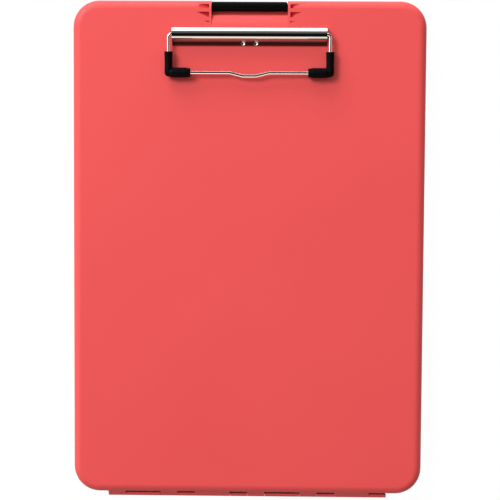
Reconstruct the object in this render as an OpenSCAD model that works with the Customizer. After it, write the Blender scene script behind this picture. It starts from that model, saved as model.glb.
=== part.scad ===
// Storage clipboard box: a shallow letter-size document case whose lid is the writing board.
// A latch at the head holds it shut, a knuckle hinge runs along its foot, and a sprung wire
// bail clips the sheets to the lid.
// Frame: X to the right of the page, Y up the page towards the latch, Z out of the board, in mm.
// The origin is the middle of the case's outline, on its flat back.

/* [Case] */
// Width of the case
case_w = 241; // [225:1:300]
// Length of the case, without the hinge knuckles
case_h = 339; // [300:1:400]
// Radius of the corners seen from the front
corner_r = 18; // [12:0.5:30]
// Depth of the tray, from its back to the parting plane
base_depth = 11; // [9:0.5:40]
// Depth of the lid, from the parting plane to the board's face
lid_depth = 7.5; // [7:0.5:12]
// Thickness of the side walls
wall = 2.2; // [1.8:0.1:2.6]
// Thickness of the board and of the tray's floor
panel = 2.2; // [1.6:0.1:3]
// Radius that rounds the lid's front edge
lid_edge_r = 5.5; // [3:0.25:6.5]
// Radius that rounds the tray's back edge
base_edge_r = 4.5; // [3:0.25:7]

/* [Rim] */
// Thickness of the tongue that the lid drops inside the tray
tongue_t = 1.4; // [1:0.1:2]
// How far the tongue reaches into the tray
tongue_drop = 2.2; // [1:0.1:4]
// Height of the tongue's root above the parting plane
tongue_root = 3; // [2:0.1:4]
// Gap between the tongue and the tray's wall
tongue_gap = 0.3; // [0.2:0.05:0.6]

/* [Hinge] */
// Length of one unit of the hinge: a knuckle is one or two units long
knuckle_l = 12.1; // [8:0.05:12.5]
// Distance of the hinge axis outside the foot edge
hinge_out = 1.2; // [1:0.1:1.6]
// Radius of the knuckles
knuckle_r = 2.4; // [2:0.05:2.6]
// Gap between neighbouring knuckles
knuckle_gap = 0.2; // [0.15:0.05:0.6]
// Width of the slot that is cored out of the tray's knuckles, along the foot of the lid
slot_w = 2.2; // [0.5:0.1:2.4]
// Height of the webs that carry the lid's knuckles, above the parting plane
web_h = 4.4; // [2.6:0.1:4.6]
// Gap between a knuckle and the other half's wall
relief_gap = 0.4; // [0.3:0.05:0.5]
// Radius of the hinge rod
rod_r = 1.2; // [0.8:0.05:1.4]
// Running clearance round the hinge rod
rod_fit = 0.05; // [0.03:0.01:0.08]
// How far the rod stops short of the hinge's ends
rod_short = 0.5; // [0.2:0.1:2]

/* [Latch recess] */
// Width of the recess in the head edge
notch_w = 52; // [40:1:80]
// Length of the thumb ramp and of the floor behind the latch, from the head edge
ramp_in = 18; // [15:0.5:22]
// Distance of the ramp's foot from the head edge
step_in = 9.9; // [9:0.1:12]
// Radius of the thumb ramp
ramp_r = 14; // [12:0.5:40]
// Thickness of the recess floor, above the parting plane
floor_t = 1.5; // [1.2:0.1:2.6]
// How far the recess floor lies over the tray's head wall
floor_lap = 0.6; // [0.3:0.1:1]
// Thickness of the ears that carry the latch
ear_t = 1.6; // [1.2:0.1:2.4]

/* [Relief pockets] */
// Length of the pockets, outwards from the ear
pocket_l = 8; // [5:0.5:11]
// Depth of a pocket at the ear
pocket_d = 4; // [2.5:0.1:4.5]
// Thickness of the plastic under the pockets
pocket_skin = 1.9; // [1.2:0.1:2.4]

/* [Latch] */
// Radius of the latch's barrel
latch_r = 3.3; // [2.8:0.1:3.4]
// Distance of the latch's axis from the head edge
latch_in = 4; // [3.6:0.1:4.4]
// Depth of the latch's axis under the board's face
latch_down = 3.8; // [3.5:0.1:3.9]
// Gap between the latch and what it turns beside
latch_gap = 0.3; // [0.2:0.05:0.5]
// Radius of the trunnions at the latch's ends
trunnion_r = 1.6; // [1.2:0.05:2]
// Running clearance round the trunnions
trunnion_fit = 0.05; // [0.03:0.01:0.08]
// Thickness of the leg that hangs from the barrel
leg_t = 2.2; // [1.6:0.1:2.6]
// Height of the leg's end above the tray's back
leg_up = 2.2; // [1:0.1:4]
// Radius of the finger lip along the leg's end
lip_r = 1; // [0.8:0.05:1.1]
// How far the lip stands out of the leg
lip_out = 0.5; // [0.2:0.05:0.6]
// Gap between the leg and the tray's head wall
leg_gap = 1.1; // [0.8:0.05:1.4]
// Clearance left between the tips of the two catch beads
bead_clear = 0.1; // [0.05:0.01:0.3]
// Radius of the catch beads
bead_r = 0.8; // [0.6:0.05:1]
// Height of the tray's catch bead above its back
bead_up = 7; // [6.5:0.1:8.5]
// Distance from the tray's bead down to the latch's bead
bead_pitch = 2; // [1.8:0.1:2.5]
// Length of the catch beads
bead_l = 40; // [10:1:50]
// Chamfer on one end of the leg, which leads it into the ears
lead_in = 1.2; // [0.5:0.1:2]

/* [Clip spine] */
// Length of the clip's sheet-metal spine
spine_l = 105; // [90:1:130]
// Width of the spine
spine_w = 11.6; // [11:0.1:14]
// Height of the spine above the board
spine_h = 6.8; // [6.4:0.1:8]
// Radius of the spine's crown
crown_r = 3.65; // [3.4:0.05:4]
// Slope of the spine's front flank
front_slope = 66; // [62:1:70]
// How far the base plate runs out in front of the front flank
plate_lip = 1.8; // [1.6:0.1:3]
// Slope of the spine's back flank
back_slope = 42; // [36:1:46]
// Distance of the spine's middle line from the head edge
spine_in = 25; // [24.2:0.1:40]
// Thickness of the spine's sheet
sheet_t = 0.8; // [0.5:0.05:1.2]
// Slit between the front flank and the base plate
seam = 0.4; // [0.2:0.1:1]
// Radius of the two round crimps at the foot of the front flank
crimp_r = 2.2; // [1.8:0.1:2.6]
// Depth of the crimps in the base plate
crimp_d = 0.5; // [0.2:0.05:0.6]
// Distance of each crimp from the middle of the spine
crimp_x = 4.4; // [3:0.1:10]
// Distance of the crimps' centres from the plate's front edge
crimp_in = 1.25; // [1:0.05:2]

/* [Bail] */
// Radius of the bail's wire
wire_r = 1.2; // [0.9:0.05:1.4]
// Clearance between the wire and the spine's crown
wire_fit = 0.1; // [0.05:0.01:0.3]
// Angle from upright at which the wire bears on the crown, towards the head
wire_lean = 5; // [0:1:30]
// Distance between the bail's arms, centre to centre
arm_span = 109.4; // [109:0.2:140]
// Distance from the bail's axis to its cross wire
bail_reach = 25.8; // [20:0.2:60]
// Bend radius beside the spine, on the wire's centre line
hip_r = 2.2; // [1.6:0.1:2.4]
// Bend radius inside the grips, on the wire's centre line
grip_bend_r = 2.7; // [2.7:0.1:4]
// Distance of each wire end from the middle of the spine
wire_end_x = 8; // [7:0.5:20]
// How far the middle of the cross wire dips away from the spine
dip = 2.2; // [1.5:0.1:4]
// Length of the straight at the bottom of the dip
dip_flat = 7.4; // [4:0.2:20]
// Slope of the dip's flanks
dip_slope = 14; // [12:1:30]
// Bend radius at each end of a flank
dip_r = 6; // [3:0.5:10]

/* [Grips] */
// Length of a grip along the bail's arm, from the cross wire
grip_arm_l = 14; // [10:0.5:20]
// Length of a grip along the cross wire, from the arm
grip_cross_l = 14.8; // [12:0.2:25]
// Radius of a grip at its corner
grip_r = 2.75; // [2.65:0.05:3]
// Radius of a grip halfway up the arm
grip_waist_r = 2.6; // [2.2:0.05:2.6]
// Radius of a grip's open mouth
grip_mouth_r = 2.85; // [2.4:0.05:3]
// Radius of the thick barrel on the cross wire
grip_barrel_r = 3.35; // [2.8:0.05:4]
// Radius of a grip's inner end
grip_tip_r = 2.8; // [2.2:0.05:3]
// Length of the barrel's taper towards its inner end
grip_taper = 3.6; // [1:0.1:5]
// Depth of the cup in a grip's mouth
grip_cup = 1.2; // [0.5:0.1:2]
// Clearance between a grip and its wire
grip_fit = 0.05; // [0.03:0.01:0.1]
// Height of a grip over the board at rest
grip_gap = 0.3; // [0.2:0.05:0.6]

/* [Rivets] */
// Distance of each rivet from the spine's end
rivet_in = 14.5; // [8:0.5:30]
// Radius of a rivet's shank
rivet_r = 1.6; // [1:0.1:2]
// Clearance round a rivet's shank
rivet_fit = 0.05; // [0.02:0.01:0.2]
// Radius of a rivet's head
rivet_head_r = 3.1; // [2.4:0.1:3.6]
// Height of a rivet's head
rivet_head_h = 1.2; // [0.8:0.1:1.5]
// Radius of a rivet's upset end
rivet_tail_r = 2.6; // [2.3:0.1:3.6]
// Height of a rivet's upset end
rivet_tail_h = 0.8; // [0.5:0.1:1.5]
// Radius of the washers inside the lid
washer_r = 5; // [4:0.25:7]
// Thickness of the washers
washer_t = 0.8; // [0.5:0.1:1.5]

/* [Hidden] */
$fn = 48;
past = 1; // how far a cutter runs past the face that it cuts
lap = 0.1; // how far a straight stretch of wire laps into the bend at its end
hair = 0.01; // how much thinner than the bend it is there
graze = 0.002; // how far a round crown reaches past its flanks, so that they meet at an edge
inner_r_min = 0.5; // least radius inside a rounded edge
case_colour = "#E65A55";
plastic_black = "#141414";
chrome = "#C9CCCE";
steel = "#9A9DA0";

// The board and the case's ends
board_z = base_depth + lid_depth;
head_y = case_h / 2;
head_centre_y = head_y - corner_r;

// The hinge: each [from, to] is a knuckle of the lid, counted in units from the left.
// The tray's knuckles are the same row seen in a mirror, so together they fill the hinge.
HINGE_UNITS = 16;
LID_KNUCKLES = [[0, 1], [3, 4], [5, 7], [8, 9], [11, 12], [13, 15]];
TRAY_KNUCKLES = [for (k = LID_KNUCKLES) [HINGE_UNITS - k[1], HINGE_UNITS - k[0]]];
hinge_l = HINGE_UNITS * knuckle_l;
hinge_y = -head_y - hinge_out;
hinge_z = base_depth;
web_lean = 20; // how far round a knuckle its web starts, outwards from the top

// The latch and its recess
latch_y = head_y - latch_in;
latch_z = board_z - latch_down;
leg_outer_y = latch_y + latch_r;
leg_inner_y = leg_outer_y - leg_t;
tray_head_y = leg_inner_y - leg_gap;
tray_inner_y = tray_head_y - wall;
bead_out = (leg_gap - bead_clear) / 2;
ramp_y = head_y - ramp_in;
step_y = head_y - step_in;
ear_x = notch_w / 2 + ear_t;

// Each pocket beside an ear: its head side and foot side, from the head edge, how far the foot
// side reaches out from the ear, and the share of the full length and depth that it has
POCKETS = [[2.5, 5.3, 5.8, 1], [7.9, 11.5, 0.5, 1], [14, 15, 0.3, 0.4]];
pocket_run = 0.8; // how far a pocket's outline runs past the end of its floor

// The clip
spine_y = head_y - spine_in;
rivet_x = spine_l / 2 - rivet_in;
crown_h = spine_h - crown_r;
foot_x = plate_lip - spine_w / 2; // where the front flank would meet the board
crown_x = foot_x + (crown_r + crown_h * cos(front_slope)) / sin(front_slope);
rivet_y = spine_y + plate_lip / 2;
bear_r = crown_r - sheet_t - wire_r - wire_fit;
bail_y = spine_y + crown_x + bear_r * sin(wire_lean);
bail_z = board_z + crown_h + bear_r * cos(wire_lean);
cross_z = board_z + grip_barrel_r + grip_gap;
bail_tilt = asin((bail_z - cross_z) / bail_reach);
arm_x = arm_span / 2;

// Lays a profile in the plane across the case: X becomes Y, Y becomes Z, and it runs along X
module along_x(length) {
    rotate([90, 0, 90]) linear_extrude(length, center = true) children();
}

// A bar along X, centred on x
module bar_x(r, length, x = 0) {
    translate([x - length / 2, 0, 0]) rotate([0, 90, 0]) cylinder(r = r, h = length);
}

// Sweeps a profile round the case. The profile's X runs outwards from the line through the
// corners' centres. Sides and corners are numbered from +X, anticlockwise.
module rim_sweep(sides = [0, 1, 2, 3], corners = [0, 1, 2, 3]) {
    half = [case_w / 2 - corner_r, case_h / 2 - corner_r];
    for (i = sides)
        rotate([0, 0, 90 * i]) translate([half[i % 2], half[(i + 1) % 2], 0])
            rotate([90, 0, 0]) linear_extrude(2 * half[(i + 1) % 2]) children();
    for (i = corners)
        rotate([0, 0, 90 * i]) translate([half[i % 2], half[(i + 1) % 2], 0])
            rotate_extrude(angle = 90) children();
}

// The outer profile of a half case, open side down: a block whose upper outer edge is round
module edge_profile(reach, depth, edge_r) {
    difference() {
        square([reach, depth]);
        translate([reach - edge_r, depth - edge_r]) difference() {
            square(edge_r + past);
            circle(edge_r);
        }
    }
}

// A half case, open side down on z = 0
module shell(depth, edge_r) {
    rim_sweep() difference() {
        edge_profile(corner_r, depth, edge_r);
        translate([-past, -past])
            edge_profile(corner_r - wall + past, depth - panel + past, max(edge_r - wall, inner_r_min));
    }
    translate([corner_r - case_w / 2, corner_r - case_h / 2, depth - panel])
        cube([case_w - 2 * corner_r, case_h - 2 * corner_r, panel]);
}

// Knuckles on the hinge axis, each with a web of the given height to its own wall; up is 1 on
// the lid, -1 on the tray
module knuckles(row, up, web) {
    for (k = row) {
        length = (k[1] - k[0]) * knuckle_l - knuckle_gap;
        translate([(k[0] + k[1]) / 2 * knuckle_l - hinge_l / 2, hinge_y, hinge_z]) {
            bar_x(knuckle_r, length);
            along_x(length) polygon([
                [0, 0],
                [-knuckle_r * sin(web_lean), up * knuckle_r * cos(web_lean)],
                [hinge_out + wall / 4, up * web],
                [hinge_out + wall, up * web],
                [hinge_out + wall, 0]
            ]);
        }
    }
}

// Room for the other half's knuckles
module knuckle_reliefs(row) {
    for (k = row)
        translate([0, hinge_y, hinge_z])
            bar_x(
                knuckle_r + relief_gap,
                (k[1] - k[0]) * knuckle_l + knuckle_gap,
                (k[0] + k[1]) / 2 * knuckle_l - hinge_l / 2
            );
}

module rod_bore() {
    translate([0, hinge_y, hinge_z]) bar_x(rod_r + rod_fit, hinge_l + 2 * past);
}

// The tray: floor and walls, with its head wall set back behind the latch
module base_tray() {
    color(case_colour) difference() {
        union() {
            difference() {
                translate([0, 0, base_depth]) mirror([0, 0, 1]) shell(base_depth, base_edge_r);
                tray_recess();
                knuckle_reliefs(LID_KNUCKLES);
            }
            difference() {
                tray_head_block();
                tray_recess();
            }
            translate([0, tray_head_y + bead_out - bead_r, bead_up]) bar_x(bead_r, bead_l);
            knuckles(TRAY_KNUCKLES, -1, knuckle_r);
        }
        knuckle_slot();
        rod_bore();
    }
}

// The slot along the tray's knuckles, open upwards beside the lid
module knuckle_slot() {
    translate([-hinge_l / 2 - past, hinge_y + knuckle_r - slot_w, hinge_z])
        cube([hinge_l + 2 * past, slot_w + wall, knuckle_r + past]);
}

module tray_recess() {
    translate([-notch_w / 2, tray_head_y, -past])
        cube([notch_w, case_h, base_depth + 2 * past]);
}

// The block that the recess is cut from: it leaves the set-back wall and its two cheeks
module tray_head_block() {
    translate([0, 0, base_depth]) mirror([0, 0, 1]) along_x(notch_w + 2 * wall)
        intersection() {
            translate([head_centre_y, 0]) edge_profile(corner_r, base_depth, base_edge_r);
            translate([tray_inner_y, -past]) square([case_h, base_depth + 2 * past]);
        }
}

// The lid: the writing board, its tongue, the latch recess and its half of the hinge
module lid_board() {
    color(case_colour) difference() {
        union() {
            difference() {
                union() {
                    translate([0, 0, base_depth]) shell(lid_depth, lid_edge_r);
                    tongue();
                    for (side = [0, 1]) mirror([side, 0, 0]) pocket_boss();
                }
                lid_recess();
                knuckle_reliefs(TRAY_KNUCKLES);
            }
            recess_skin();
            for (side = [0, 1]) mirror([side, 0, 0]) ear();
            knuckles(LID_KNUCKLES, 1, web_h);
        }
        for (side = [0, 1]) mirror([side, 0, 0]) {
            for (p = POCKETS) pocket(p[0], p[1], p[2], p[3]);
            translate([0, latch_y, latch_z])
                bar_x(
                    trunnion_r + trunnion_fit,
                    ear_t + latch_gap + past,
                    ear_x - (ear_t + past) / 2 + latch_gap / 2
                );
            translate([rivet_x, rivet_y, board_z - panel - past])
                cylinder(r = rivet_r + rivet_fit, h = panel + 2 * past);
        }
        rod_bore();
    }
}

// The tongue keeps the lid over the tray on three sides; the hinge holds the fourth
module tongue() {
    outer = corner_r - wall - tongue_gap;
    translate([0, 0, base_depth]) rim_sweep([0, 1, 2], [0, 1]) {
        translate([outer - tongue_t, -tongue_drop])
            square([tongue_t, tongue_drop + tongue_root]);
        translate([outer - tongue_t, 0])
            square([tongue_t + tongue_gap + wall / 4, tongue_root]);
    }
}

// The recess through the lid, with the tongue cut back to clear the tray's cheeks
module lid_recess() {
    clear = notch_w / 2 + wall + tongue_gap;
    translate([-notch_w / 2, ramp_y, base_depth - past]) cube([notch_w, case_h, board_z]);
    translate([-clear, ramp_y, base_depth - tongue_drop - past])
        cube([2 * clear, case_h, tongue_drop + past]);
}

// The ramp, the step under it and the floor that reaches over the tray's head wall
module recess_skin() {
    floor_end_y = tray_inner_y + floor_lap;
    difference() {
        along_x(notch_w + ear_t) difference() {
            union() {
                intersection() {
                    translate([ramp_y, board_z - ramp_r]) circle(ramp_r);
                    translate([ramp_y, base_depth]) square([step_y - ramp_y, lid_depth]);
                }
                translate([step_y - panel, base_depth])
                    square([floor_end_y - step_y + panel, floor_t]);
            }
            intersection() {
                translate([ramp_y, board_z - ramp_r]) circle(ramp_r - panel);
                translate([ramp_y - past, base_depth - past])
                    square([step_y - ramp_y - panel + past, lid_depth]);
            }
        }
        translate([0, latch_y, latch_z]) bar_x(latch_r + latch_gap, notch_w + 2 * ear_t);
    }
}

// A thin wall beside the recess, which carries one trunnion of the latch
module ear() {
    translate([notch_w / 2 + ear_t / 2, 0, base_depth]) along_x(ear_t) intersection() {
        translate([head_centre_y, 0]) edge_profile(corner_r, lid_depth, lid_edge_r);
        translate([ramp_y - panel, 0]) square([case_h, lid_depth]);
    }
}

// The thickened plastic under the pockets
module pocket_boss() {
    top_z = board_z - panel / 2;
    rotate([90, 0, 0]) translate([0, 0, -latch_y - panel]) linear_extrude(step_in)
        polygon([
            [ear_x - ear_t / 2, top_z],
            [ear_x + pocket_l + pocket_skin, top_z],
            [ear_x - ear_t / 2, board_z - pocket_d - pocket_skin]
        ]);
}

// One pocket beside the ear, between two lines across the head. Its floor falls towards the
// ear, and it narrows from its head side to the shorter foot side.
module pocket(from, to, foot_l, share) {
    length = pocket_l * share;
    depth = pocket_d * share;
    intersection() {
        translate([0, 0, board_z - depth]) linear_extrude(depth + past) polygon([
            [ear_x, head_y - from],
            [ear_x + length + pocket_run, head_y - from],
            [ear_x + foot_l, head_y - to],
            [ear_x, head_y - to]
        ]);
        translate([ear_x, 0, board_z - depth]) rotate([0, -atan(pocket_d / pocket_l), 0])
            translate([-pocket_l, 0, 0]) cube([3 * pocket_l, case_h, pocket_l]);
    }
}

module hinge_rod() {
    color(steel) translate([0, hinge_y, hinge_z]) bar_x(rod_r, hinge_l - 2 * rod_short);
}

// The latch turns in the ears on its own moulded trunnions
module latch_flap() {
    length = notch_w - 2 * latch_gap;
    color(plastic_black) difference() {
        union() {
            translate([0, latch_y, latch_z]) {
                bar_x(latch_r, length);
                bar_x(trunnion_r, notch_w + 2 * ear_t);
            }
            along_x(length) {
                translate([leg_inner_y, leg_up]) square([leg_t, latch_z - leg_up]);
                translate([leg_outer_y + lip_out - lip_r, leg_up + lip_r]) circle(lip_r);
            }
            translate([0, leg_inner_y - bead_out + bead_r, bead_up - bead_pitch])
                bar_x(bead_r, bead_l);
        }
        translate([length / 2, leg_outer_y, 0]) rotate([0, 0, 45])
            cube([lead_in * sqrt(2), lead_in * sqrt(2), 4 * board_z], center = true);
    }
}

// The spine: one folded sheet. Its base plate lies on the board, and its crown holds the wire.
module clip_spine() {
    color(chrome) difference() {
        translate([0, spine_y, board_z]) along_x(spine_l) spine_profile(0);
        difference() {
            translate([0, spine_y, board_z]) along_x(spine_l + 2 * past) spine_profile(sheet_t);
            crimps(sheet_t);
        }
        crimps(0);
        translate([-spine_l, spine_y - spine_w / 2 - past, board_z + sheet_t])
            cube([2 * spine_l, past + plate_lip + 2 * (sheet_t + seam), seam]);
        for (side = [-1, 1])
            translate([side * rivet_x, rivet_y, board_z - past])
                cylinder(r = rivet_r + rivet_fit, h = sheet_t + 2 * past);
    }
}

// The spine's section, drawn in by the given thickness all round: the base plate's lip, a steep
// front flank, a round crown, a gentler back flank and an upright back wall
module spine_profile(inset) {
    r = crown_r - inset;
    back_x = spine_w / 2 - inset;
    lip = [
        [-spine_w / 2, 0], [-spine_w / 2, sheet_t],
        [foot_x + sheet_t / tan(front_slope), sheet_t]
    ];
    corner = [[foot_x + inset * (1 + cos(front_slope)) / sin(front_slope), inset]];
    front = [crown_x - r * sin(front_slope), crown_h + r * cos(front_slope)];
    turn = [crown_x + r * sin(back_slope), crown_h + r * cos(back_slope)];
    run = (turn[1] - front[1] + (turn[0] - front[0]) * tan(back_slope))
        / (tan(front_slope) + tan(back_slope));
    peak = front + run * [1, tan(front_slope)];
    shoulder = [back_x, turn[1] - (back_x - turn[0]) * tan(back_slope)];
    difference() {
        polygon(concat(inset == 0 ? lip : corner, [peak, shoulder, [back_x, inset]]));
        difference() {
            polygon([front, turn, turn + past * [1, 1], peak + past * [0, 1], front + past * [-1, 1]]);
            translate([crown_x, crown_h]) circle(r + graze);
        }
    }
}

// The two round crimps that stake the front flank to the base plate; skin makes the bulges
// behind them
module crimps(skin) {
    for (side = [-1, 1])
        translate([
            side * crimp_x,
            spine_y - spine_w / 2 + crimp_in,
            board_z + sheet_t + crimp_r - crimp_d
        ])
            rotate([0, 90, 0]) sphere(crimp_r + skin);
}

// Lays a round bar along a list of runs in the XY plane, starting along +X. A run is
// [length] for a straight, or [bend radius, angle], with the angle positive to the left.
module wire_run(runs, r, i = 0) {
    if (i < len(runs)) {
        run = runs[i];
        if (len(run) == 1) {
            translate([run[0] / 2, 0, 0]) bar_x(r - hair, run[0] + 2 * lap);
            translate([run[0], 0, 0]) wire_run(runs, r, i + 1);
        } else {
            turn = run[1] > 0 ? 1 : -1;
            translate([0, turn * run[0], 0]) {
                rotate([0, 0, turn > 0 ? -90 : 90 - abs(run[1])]) rotate_extrude(angle = abs(run[1]))
                    translate([run[0], 0]) circle(r);
                rotate([0, 0, run[1]]) translate([0, -turn * run[0], 0]) wire_run(runs, r, i + 1);
            }
        }
    }
}

// Sets pieces drawn flat, with the bail's axis along X, at the bail's rest angle
module at_bail() {
    translate([0, bail_y, bail_z]) rotate([bail_tilt, 0, 0]) children();
}

// The bail: one sprung wire, whose two ends lie in the spine
module bail_wire() {
    flank = (dip - 2 * dip_r * (1 - cos(dip_slope))) / sin(dip_slope);
    dip_half = dip_flat / 2 + 2 * dip_r * sin(dip_slope) + flank * cos(dip_slope);
    runs = [
        [dip_r, dip_slope], [flank], [dip_r, -dip_slope],
        [arm_x - grip_bend_r - dip_half], [grip_bend_r, 90],
        [bail_reach - grip_bend_r - hip_r], [hip_r, 90],
        [arm_x - hip_r - wire_end_x]
    ];
    color(chrome) at_bail() translate([0, -bail_reach - dip, 0]) {
        bar_x(wire_r - hair, dip_flat + 2 * lap);
        for (side = [0, 1]) mirror([side, 0, 0]) translate([dip_flat / 2, 0, 0])
            wire_run(runs, wire_r);
    }
}

// A rubber elbow round one corner of the bail: a waisted leg with a round heel, and a barrel
module grip() {
    bore_r = wire_r + grip_fit;
    color(plastic_black) translate([arm_x, -bail_reach, 0]) difference() {
        union() {
            rotate([-90, 0, 0]) rotate_extrude() {
                polygon([
                    [0, 0], [grip_r, 0], [grip_waist_r, grip_arm_l / 2], [grip_mouth_r, grip_arm_l],
                    [0, grip_arm_l]
                ]);
                intersection() {
                    circle(grip_r);
                    translate([0, hair - grip_r]) square(grip_r);
                }
            }
            rotate([0, -90, 0]) rotate_extrude() polygon([
                [0, 0], [grip_waist_r, 0], [grip_barrel_r, grip_r],
                [grip_barrel_r, grip_cross_l - grip_taper], [grip_tip_r, grip_cross_l],
                [0, grip_cross_l]
            ]);
        }
        translate([-grip_cross_l - past, 0, 0]) wire_run([
            [grip_cross_l - grip_bend_r + past], [grip_bend_r, 90], [grip_arm_l - grip_bend_r + past]
        ], bore_r);
        translate([0, grip_arm_l - grip_cup, 0]) rotate([-90, 0, 0])
            cylinder(r1 = bore_r, r2 = grip_mouth_r - wire_r / 2, h = grip_cup + hair);
    }
}

module left_grip() {
    at_bail() mirror([1, 0, 0]) grip();
}

module right_grip() {
    at_bail() grip();
}

// A rivet through the spine's base plate and the board, headed above and upset on the washer
module rivet(x) {
    plate_z = board_z + sheet_t;
    tail_z = board_z - panel - washer_t;
    color(steel) translate([x, rivet_y, 0]) {
        translate([0, 0, tail_z]) cylinder(r = rivet_r, h = plate_z - tail_z);
        translate([0, 0, plate_z])
            cylinder(r1 = rivet_head_r, r2 = rivet_head_r / 2, h = rivet_head_h);
        translate([0, 0, tail_z - rivet_tail_h]) cylinder(r = rivet_tail_r, h = rivet_tail_h);
    }
}

module washer(x) {
    color(steel) translate([x, rivet_y, board_z - panel - washer_t]) difference() {
        cylinder(r = washer_r, h = washer_t);
        translate([0, 0, -past]) cylinder(r = rivet_r + rivet_fit, h = washer_t + 2 * past);
    }
}

module left_rivet() {
    rivet(-rivet_x);
}

module right_rivet() {
    rivet(rivet_x);
}

module left_rivet_washer() {
    washer(-rivet_x);
}

module right_rivet_washer() {
    washer(rivet_x);
}

base_tray();
lid_board();
hinge_rod();
latch_flap();
clip_spine();
bail_wire();
left_grip();
right_grip();
left_rivet();
right_rivet();
left_rivet_washer();
right_rivet_washer();
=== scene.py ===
# Storage clipboard box: materials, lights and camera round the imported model, in metres.
import math

import bpy
from mathutils import Euler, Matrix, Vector


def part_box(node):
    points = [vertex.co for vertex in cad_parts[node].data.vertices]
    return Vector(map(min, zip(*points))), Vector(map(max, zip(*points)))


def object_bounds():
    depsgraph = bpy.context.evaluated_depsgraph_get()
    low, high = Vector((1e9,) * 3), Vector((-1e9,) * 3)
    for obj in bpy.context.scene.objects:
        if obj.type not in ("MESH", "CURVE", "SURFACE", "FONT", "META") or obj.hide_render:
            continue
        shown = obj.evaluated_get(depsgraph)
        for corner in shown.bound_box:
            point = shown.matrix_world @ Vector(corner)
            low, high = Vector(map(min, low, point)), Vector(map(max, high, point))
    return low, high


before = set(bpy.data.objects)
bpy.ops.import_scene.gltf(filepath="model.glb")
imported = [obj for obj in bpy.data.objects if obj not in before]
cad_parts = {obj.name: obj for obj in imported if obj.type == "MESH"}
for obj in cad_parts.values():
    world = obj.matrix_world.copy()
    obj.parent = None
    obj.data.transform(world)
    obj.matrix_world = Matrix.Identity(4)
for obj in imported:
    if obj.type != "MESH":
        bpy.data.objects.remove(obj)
cad_low, cad_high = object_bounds()

MM = 0.001
WHITE = (1.0, 1.0, 1.0, 1.0)
CORAL = (0.805, 0.086, 0.084, 1.0)
CORAL_DEEP = (0.785, 0.081, 0.079, 1.0)
BLACK = (0.002, 0.002, 0.0022, 1.0)
BLACK_SHEEN = (0.0045, 0.0045, 0.005, 1.0)
CHROME = (0.56, 0.545, 0.53, 1.0)
WIRE_CHROME = (0.86, 0.84, 0.82, 1.0)
# Painted reflection: the dark red that the spine's lip top shows in place of the shaded board it
# mirrors, with a low metallic value so that it reads as paint.
LIP_PAINTED_SHADE_REFLECTION = (0.095, 0.010, 0.009, 1.0)
PAINTED_LIP_METALLIC = 0.2
STEEL = (0.42, 0.42, 0.43, 1.0)


# ---------------------------------------------------------------- materials


def new_material(name):
    """A material whose node tree holds a Principled shader and the output."""
    mat = bpy.data.materials.new(name)
    mat.use_nodes = True
    tree = mat.node_tree
    tree.nodes.clear()
    out = tree.nodes.new("ShaderNodeOutputMaterial")
    shader = tree.nodes.new("ShaderNodeBsdfPrincipled")
    tree.links.new(shader.outputs["BSDF"], out.inputs["Surface"])
    return mat, tree, shader


def noise(tree, scale, detail, rough=0.5, stretch=(1, 1, 1)):
    """Noise from 0 to 1 in object space, whose scale is in lumps per metre."""
    coords = tree.nodes.new("ShaderNodeTexCoord")
    mapping = tree.nodes.new("ShaderNodeMapping")
    mapping.inputs["Scale"].default_value = stretch
    tex = tree.nodes.new("ShaderNodeTexNoise")
    tex.inputs["Scale"].default_value = scale
    tex.inputs["Detail"].default_value = detail
    tex.inputs["Roughness"].default_value = rough
    tree.links.new(coords.outputs["Object"], mapping.inputs["Vector"])
    tree.links.new(mapping.outputs["Vector"], tex.inputs["Vector"])
    return tex.outputs["Fac"]


def ramp(tree, value, stops):
    """A colour ramp with (position, colour) stops."""
    node = tree.nodes.new("ShaderNodeValToRGB")
    elements = node.color_ramp.elements
    while len(elements) < len(stops):
        elements.new(1.0)
    for element, (at, colour) in zip(elements, stops):
        element.position = at
        element.color = colour
    tree.links.new(value, node.inputs["Fac"])
    return node.outputs["Color"]


def to_range(tree, value, low, high):
    """Maps 0..1 to low..high."""
    node = tree.nodes.new("ShaderNodeMapRange")
    node.inputs["To Min"].default_value = low
    node.inputs["To Max"].default_value = high
    tree.links.new(value, node.inputs["Value"])
    return node.outputs["Result"]


def math_node(tree, operation, first, second=0.0, third=0.0):
    """A Math node, whose inputs are sockets or numbers."""
    node = tree.nodes.new("ShaderNodeMath")
    node.operation = operation
    for socket, value in zip(node.inputs, (first, second, third)):
        if isinstance(value, (int, float)):
            socket.default_value = value
        else:
            tree.links.new(value, socket)
    return node.outputs["Value"]


def mix_colour(tree, factor, first, second):
    """Mixes two colours, which are sockets or tuples."""
    node = tree.nodes.new("ShaderNodeMix")
    node.data_type = "RGBA"
    tree.links.new(factor, node.inputs["Factor"])
    for name, value in (("A", first), ("B", second)):
        socket = next(i for i in node.inputs if i.name == name and i.type == "RGBA")
        if isinstance(value, tuple):
            socket.default_value = value
        else:
            tree.links.new(value, socket)
    return next(o for o in node.outputs if o.type == "RGBA")


def bump(tree, height, strength, distance):
    """A bumped normal from a height, whose distance is in metres."""
    node = tree.nodes.new("ShaderNodeBump")
    node.inputs["Strength"].default_value = strength
    node.inputs["Distance"].default_value = distance
    tree.links.new(height, node.inputs["Height"])
    return node.outputs["Normal"]


def case_plastic(name, low, high):
    """Moulded plastic with a fine spark grain and a faint cloudiness in its colour."""
    mat, tree, shader = new_material(name)
    cloud = noise(tree, 9, 3, 0.55)
    colour = ramp(tree, cloud, [(0.3, low), (0.7, high)])
    tree.links.new(colour, shader.inputs["Base Color"])
    grain = noise(tree, 1600, 2, 0.5)
    tree.links.new(to_range(tree, grain, 0.42, 0.54), shader.inputs["Roughness"])
    tree.links.new(bump(tree, grain, 0.3, 0.1 * MM), shader.inputs["Normal"])
    shader.inputs["Specular IOR Level"].default_value = 0.25
    return mat


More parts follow.
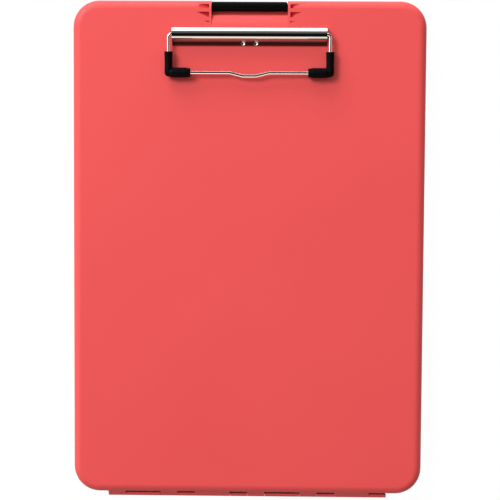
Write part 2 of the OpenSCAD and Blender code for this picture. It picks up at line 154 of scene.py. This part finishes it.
def black_plastic(name, roughness, grain_scale, grain_height):
    """Black moulding whose grain shows only where it catches a highlight."""
    mat, tree, shader = new_material(name)
    grain = noise(tree, grain_scale, 3, 0.6)
    colour = ramp(tree, grain, [(0.3, BLACK), (0.75, BLACK_SHEEN)])
    tree.links.new(colour, shader.inputs["Base Color"])
    tree.links.new(to_range(tree, grain, roughness - 0.06, roughness + 0.08), shader.inputs["Roughness"])
    tree.links.new(bump(tree, grain, 0.25, grain_height), shader.inputs["Normal"])
    shader.inputs["Specular IOR Level"].default_value = 0.03
    return mat


def plated(name, colour, roughness, stretch):
    """Bright plated metal with faint drawing lines along its length."""
    mat, tree, shader = new_material(name)
    shader.inputs["Metallic"].default_value = 1.0
    lines = noise(tree, 700, 2, 0.5, stretch)
    shade = tuple(c * 0.96 for c in colour[:3]) + (1.0,)
    tree.links.new(ramp(tree, lines, [(0.3, shade), (0.7, colour)]), shader.inputs["Base Color"])
    tree.links.new(to_range(tree, lines, roughness * 0.9, roughness * 1.1), shader.inputs["Roughness"])
    return mat, tree, shader


def spine_metal_with_painted_lip(name, painted_lip_low, painted_lip_high):
    """The spine's plating. The top of its sheared lip, in the box between two corners, is painted dark
    red and made barely metallic: a painted reflection of the shaded board in front of it.
    """
    mat, tree, shader = plated(name, CHROME, 0.05, (0.05, 1, 1))
    coords = tree.nodes.new("ShaderNodeTexCoord")
    split = tree.nodes.new("ShaderNodeSeparateXYZ")
    tree.links.new(coords.outputs["Object"], split.inputs["Vector"])
    painted_lip_mask = 1.0
    for axis, low, high in zip("YZ", painted_lip_low.yz, painted_lip_high.yz):
        over = math_node(tree, "GREATER_THAN", split.outputs[axis], low)
        under = math_node(tree, "LESS_THAN", split.outputs[axis], high)
        painted_lip_mask = math_node(tree, "MULTIPLY", math_node(tree, "MULTIPLY", over, under), painted_lip_mask)
    # Painted reflection: inside the box the plating gives way to the dark red lip colour and loses most
    # of its metallic value.
    bright = shader.inputs["Base Color"].links[0].from_socket
    tree.links.new(mix_colour(tree, painted_lip_mask, bright, LIP_PAINTED_SHADE_REFLECTION), shader.inputs["Base Color"])
    tree.links.new(to_range(tree, painted_lip_mask, 1.0, PAINTED_LIP_METALLIC), shader.inputs["Metallic"])
    return mat


def paint(node, material):
    """Gives a CAD object its one material."""
    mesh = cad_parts[node].data
    mesh.materials.clear()
    mesh.materials.append(material)


lid_plastic = case_plastic("lid_plastic", CORAL_DEEP, CORAL)
tray_plastic = case_plastic("tray_plastic", CORAL_DEEP, CORAL)
latch_plastic = black_plastic("latch_plastic", 0.38, 1400, 0.08 * MM)
grip_rubber = black_plastic("grip_rubber", 0.48, 1100, 0.1 * MM)

# The spine's front edge is the low y of its box. Its lip's top face is flat and gets a painted dark
# reflection of the shaded board; the crimps in it are lower, so that they stay out of the painted band
# and stay bright.
LIP_REACH = 2.4 * MM
LIP_FACE_LOW, LIP_FACE_HIGH = 0.75 * MM, 1.3 * MM
spine_low, spine_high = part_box("clip_spine")
painted_lip_low = spine_low + Vector((0, -MM, LIP_FACE_LOW))
painted_lip_high = Vector((spine_high.x, spine_low.y + LIP_REACH, spine_low.z + LIP_FACE_HIGH))
spine_chrome = spine_metal_with_painted_lip("spine_chrome", painted_lip_low, painted_lip_high)
wire_chrome, *_ = plated("wire_chrome", WIRE_CHROME, 0.05, (0.3, 0.3, 1))
steel, *_ = plated("plated_steel", STEEL, 0.3, (0.05, 1, 1))

PAINT = {
    "lid_board": lid_plastic,
    "base_tray": tray_plastic,
    "latch_flap": latch_plastic,
    "left_grip": grip_rubber,
    "right_grip": grip_rubber,
    "clip_spine": spine_chrome,
    "bail_wire": wire_chrome,
    "hinge_rod": steel,
    "left_rivet": steel,
    "right_rivet": steel,
    "left_rivet_washer": steel,
    "right_rivet_washer": steel,
}
for node_name, node_material in PAINT.items():
    paint(node_name, node_material)


# ---------------------------------------------------------------- stage, lights and camera


def paper(name, grey, whiteness, glow_strength):
    """A matte paper that the camera and mirrors see as white, apart from the object's shadow."""
    mat, tree, shader = new_material(name)
    shader.inputs["Base Color"].default_value = (grey, grey, grey, 1.0)
    shader.inputs["Roughness"].default_value = 0.9
    glow = tree.nodes.new("ShaderNodeEmission")
    glow.inputs["Strength"].default_value = glow_strength
    mix = tree.nodes.new("ShaderNodeMixShader")
    rays = tree.nodes.new("ShaderNodeLightPath")
    seen = math_node(tree, "MAXIMUM", rays.outputs["Is Camera Ray"], rays.outputs["Is Glossy Ray"])
    tree.links.new(math_node(tree, "MULTIPLY", seen, whiteness), mix.inputs["Fac"])
    out = next(n for n in tree.nodes if n.type == "OUTPUT_MATERIAL")
    tree.links.new(shader.outputs["BSDF"], mix.inputs[1])
    tree.links.new(glow.outputs["Emission"], mix.inputs[2])
    tree.links.new(mix.outputs["Shader"], out.inputs["Surface"])
    return mat


FLOOR_HALF = 3.0
FLOOR_GAP = 0.2 * MM


def add_floor():
    """The paper that the case lies on."""
    half = FLOOR_HALF
    mesh = bpy.data.meshes.new("floor")
    mesh.from_pydata(
        [(-half, -half, 0), (half, -half, 0), (half, half, 0), (-half, half, 0)], [], [(0, 1, 2, 3)]
    )
    floor = bpy.data.objects.new("floor", mesh)
    bpy.context.scene.collection.objects.link(floor)
    floor.location.z = cad_low.z - FLOOR_GAP
    mesh.materials.append(paper("floor_paper", 0.45, 0.94, 1.04))


def area_light(name, size, power, azimuth, elevation, distance, mirrored=True):
    """A softbox aimed at the board. Azimuth is anticlockwise from +X seen from the front, and
    mirrored says whether the chrome shows the lamp itself."""
    data = bpy.data.lights.new(name, "AREA")
    data.shape = "RECTANGLE"
    data.size, data.size_y = size
    data.energy = power
    lamp = bpy.data.objects.new(name, data)
    lamp.visible_glossy = mirrored
    az, el = math.radians(azimuth), math.radians(elevation)
    lamp.location = (
        distance * math.cos(el) * math.cos(az),
        distance * math.cos(el) * math.sin(az),
        distance * math.sin(el),
    )
    lamp.rotation_euler = (-lamp.location).to_track_quat("-Z", "Y").to_euler()
    bpy.context.scene.collection.objects.link(lamp)


# What mirrors see of the studio. Across the object, from the foot over the top to the head, the
# angle from straight up and its colour: a dark hole overhead in a pale tent.
TENT_AROUND = [
    (-180, (0.90, 0.86, 0.82, 1)),
    (-64, (0.90, 0.80, 0.72, 1)),
    (-48, (0.74, 0.62, 0.54, 1)),
    (-42, (0.004, 0.004, 0.004, 1)),
    (14, (0.004, 0.004, 0.004, 1)),
    (24, (0.05, 0.05, 0.048, 1)),
    (50, (0.12, 0.12, 0.115, 1)),
    (76, (0.26, 0.26, 0.25, 1)),
    (86, (0.95, 0.95, 0.95, 1)),
    (180, (1, 1, 1, 1)),
]
# The same from the left horizon to the right one, by the sideways part of the direction
TENT_ACROSS = [
    (-1.0, (0.95, 0.95, 0.95, 1)),
    (-0.4, (0.95, 0.95, 0.95, 1)),
    (-0.25, (0.02, 0.02, 0.02, 1)),
    (0.7, (0.02, 0.02, 0.02, 1)),
    (0.85, (0.20, 0.19, 0.18, 1)),
    (1.0, (0.35, 0.34, 0.33, 1)),
]
TENT_GLOW = 1.8
ACROSS_FROM, ACROSS_FULL = 0.30, 0.50


def add_world(strength, to_right, to_head):
    """White light, uneven by two slopes. Mirrors see the tent in it and the camera a white backdrop."""
    world = bpy.data.worlds.new("studio")
    world.use_nodes = True
    bpy.context.scene.world = world
    tree = world.node_tree
    background = next(n for n in tree.nodes if n.type == "BACKGROUND")
    coords = tree.nodes.new("ShaderNodeTexCoord")
    split = tree.nodes.new("ShaderNodeSeparateXYZ")
    tree.links.new(coords.outputs["Generated"], split.inputs["Vector"])
    x, y, z = (split.outputs[axis] for axis in "XYZ")

    turn = math_node(tree, "ARCTAN2", y, z)
    around = ramp(
        tree,
        math_node(tree, "MULTIPLY_ADD", turn, 0.5 / math.pi, 0.5),
        [((angle + 180) / 360, colour) for angle, colour in TENT_AROUND],
    )
    across = ramp(
        tree, math_node(tree, "MULTIPLY_ADD", x, 0.5, 0.5), [((x0 + 1) / 2, c) for x0, c in TENT_ACROSS]
    )
    side = tree.nodes.new("ShaderNodeMapRange")
    side.inputs["From Min"].default_value = ACROSS_FROM
    side.inputs["From Max"].default_value = ACROSS_FULL
    tree.links.new(math_node(tree, "ABSOLUTE", x), side.inputs["Value"])
    tent = mix_colour(tree, side.outputs["Result"], around, across)

    rays = tree.nodes.new("ShaderNodeLightPath")
    colour = mix_colour(tree, rays.outputs["Is Glossy Ray"], WHITE, tent)
    tree.links.new(colour, background.inputs["Color"])
    slope = math_node(tree, "MULTIPLY_ADD", x, to_right * strength, strength)
    light = math_node(tree, "MULTIPLY_ADD", y, to_head * strength, slope)
    seen = math_node(tree, "MAXIMUM", rays.outputs["Is Camera Ray"], light)
    mirrored = math_node(tree, "MULTIPLY", rays.outputs["Is Glossy Ray"], TENT_GLOW)
    tree.links.new(math_node(tree, "MAXIMUM", mirrored, seen), background.inputs["Strength"])


# The photograph's camera, fitted to the case's outline
FRAME_PIXELS = 500
FOCAL_PIXELS = 1276.7
CAMERA_AT = (16.06 * MM, 53.19 * MM, 891.95 * MM)
CAMERA_TURN = (-0.0609, 0.0174, 0.0058)


def add_camera():
    """A camera that frames the object as the photograph does, in a square picture."""
    data = bpy.data.cameras.new("camera")
    data.sensor_width = 36.0
    data.lens = FOCAL_PIXELS / FRAME_PIXELS * data.sensor_width
    camera = bpy.data.objects.new("camera", data)
    camera.location = CAMERA_AT
    camera.rotation_euler = Euler(CAMERA_TURN, "XYZ")
    data.clip_start, data.clip_end = 0.05, 20
    bpy.context.scene.collection.objects.link(camera)
    bpy.context.scene.camera = camera


add_floor()
add_world(0.48, -0.35, 0.75)
area_light("key", (0.9, 0.9), 42, 138, 43, 2.6)
area_light("head_fill", (1.4, 0.7), 24, 112, 16, 2.0, mirrored=False)
area_light("head_box", (1.2, 0.3), 3, 95, 5, 1.4)
add_camera()

scene = bpy.context.scene
scene.view_settings.view_transform = "Standard"
